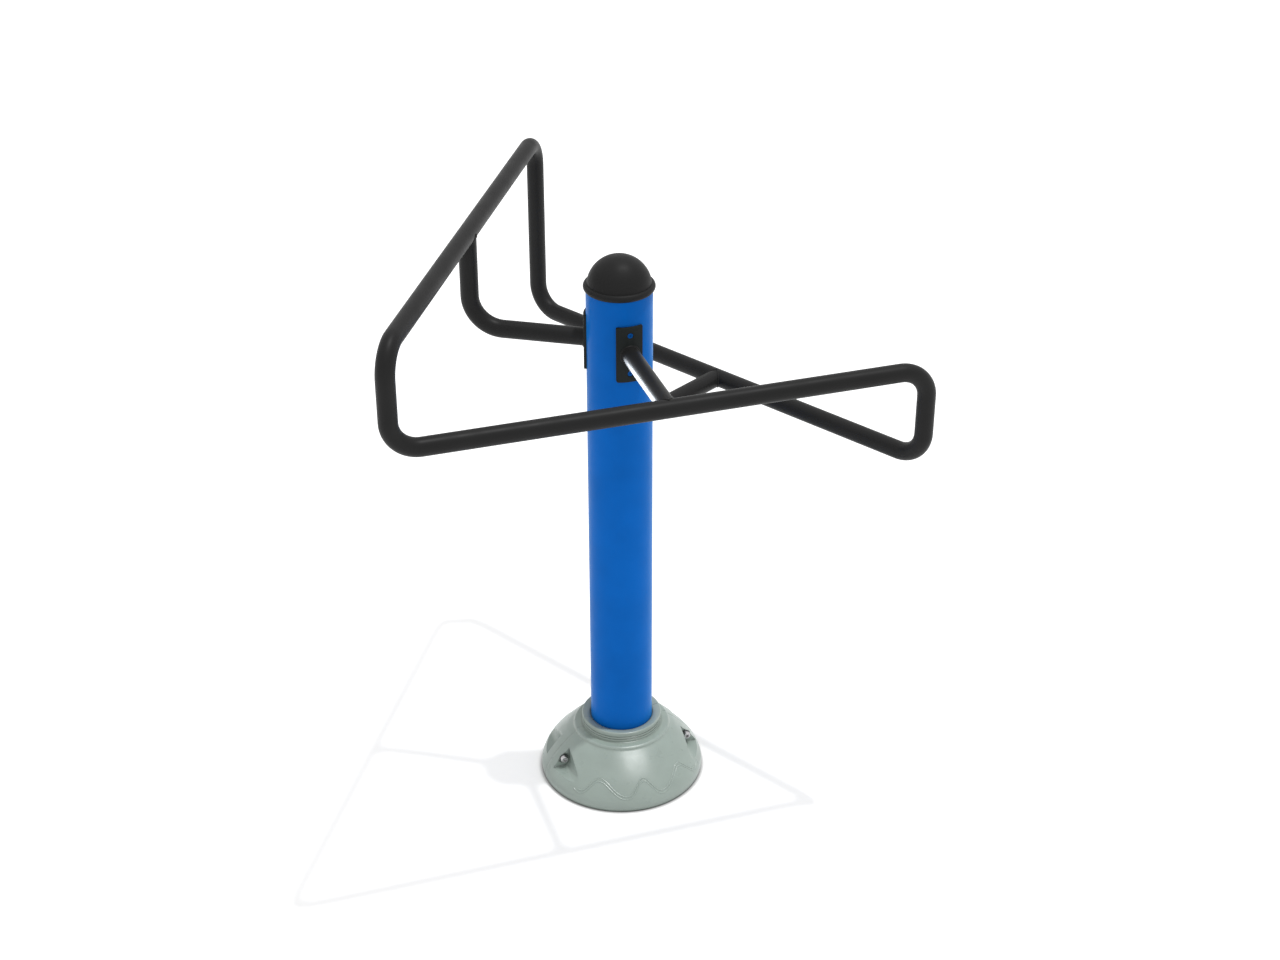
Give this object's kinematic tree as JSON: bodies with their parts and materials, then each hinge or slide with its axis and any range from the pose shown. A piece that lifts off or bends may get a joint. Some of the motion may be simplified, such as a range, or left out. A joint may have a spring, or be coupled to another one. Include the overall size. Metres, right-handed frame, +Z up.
{
  "type": "double stretching post",
  "caption": "Outdoor stretching post: round steel post with a domed cap, a moulded foot cover and arms that carry one closed three-cornered handrail at stepped heights.",
  "frame": {"origin": "on the ground at the post's axis, at the centre of the base plate's underside", "axes": "+Z up along the post; -Y along the front arm; the left arm and its rail, the highest, lie towards -X and +Y, the right arm and its rail, the lowest, towards +X and +Y"},
  "size_m": [0.9418, 0.8199, 1.0877],
  "materials": {
    "post_paint": "glossy blue powder coat",
    "rail_paint": "satin black powder coat",
    "plate_paint": "matte brownish black powder coat",
    "cap_plastic": "satin black moulded plastic",
    "cover_plastic": "satin grey-green moulded plastic with a fine moulded wave line",
    "base_steel": "galvanised, hidden inside the cover and the tubes",
    "fastener_steel": "stainless steel fasteners"
  },
  "bodies": {
    "root": {"post_tube": "post_paint", "post_cap": "cap_plastic", "base_plate": "base_steel", "base_gusset_1": "base_steel", "base_gusset_2": "base_steel", "base_gusset_3": "base_steel", "base_gusset_4": "base_steel", "post_weld": "base_steel", "cover_front": "cover_plastic", "cover_rear": "cover_plastic", "cover_screw_left": "fastener_steel", "cover_screw_right": "fastener_steel", "cover_washer_left": "fastener_steel", "cover_washer_right": "fastener_steel", "front_plate": "plate_paint", "left_plate": "plate_paint", "right_plate": "plate_paint", "front_plate_lower_screw": "post_paint", "front_plate_upper_screw": "post_paint", "left_plate_lower_screw": "post_paint", "left_plate_upper_screw": "post_paint", "right_plate_lower_screw": "post_paint", "right_plate_upper_screw": "post_paint", "front_plate_lower_rivet_nut": "fastener_steel", "front_plate_upper_rivet_nut": "fastener_steel", "left_plate_lower_rivet_nut": "fastener_steel", "left_plate_upper_rivet_nut": "fastener_steel", "right_plate_lower_rivet_nut": "fastener_steel", "right_plate_upper_rivet_nut": "fastener_steel", "front_arm": "rail_paint", "left_arm": "rail_paint", "right_arm": "rail_paint", "front_plate_weld": "rail_paint", "left_plate_weld": "rail_paint", "right_plate_weld": "rail_paint", "front_rail_weld": "rail_paint", "left_rail_weld": "rail_paint", "right_rail_weld": "rail_paint", "middle_rail": "rail_paint", "low_rail": "rail_paint", "high_rail": "rail_paint", "middle_rail_sleeve": "base_steel", "low_rail_sleeve": "base_steel", "high_rail_sleeve": "base_steel"}
  },
  "joints": []
}
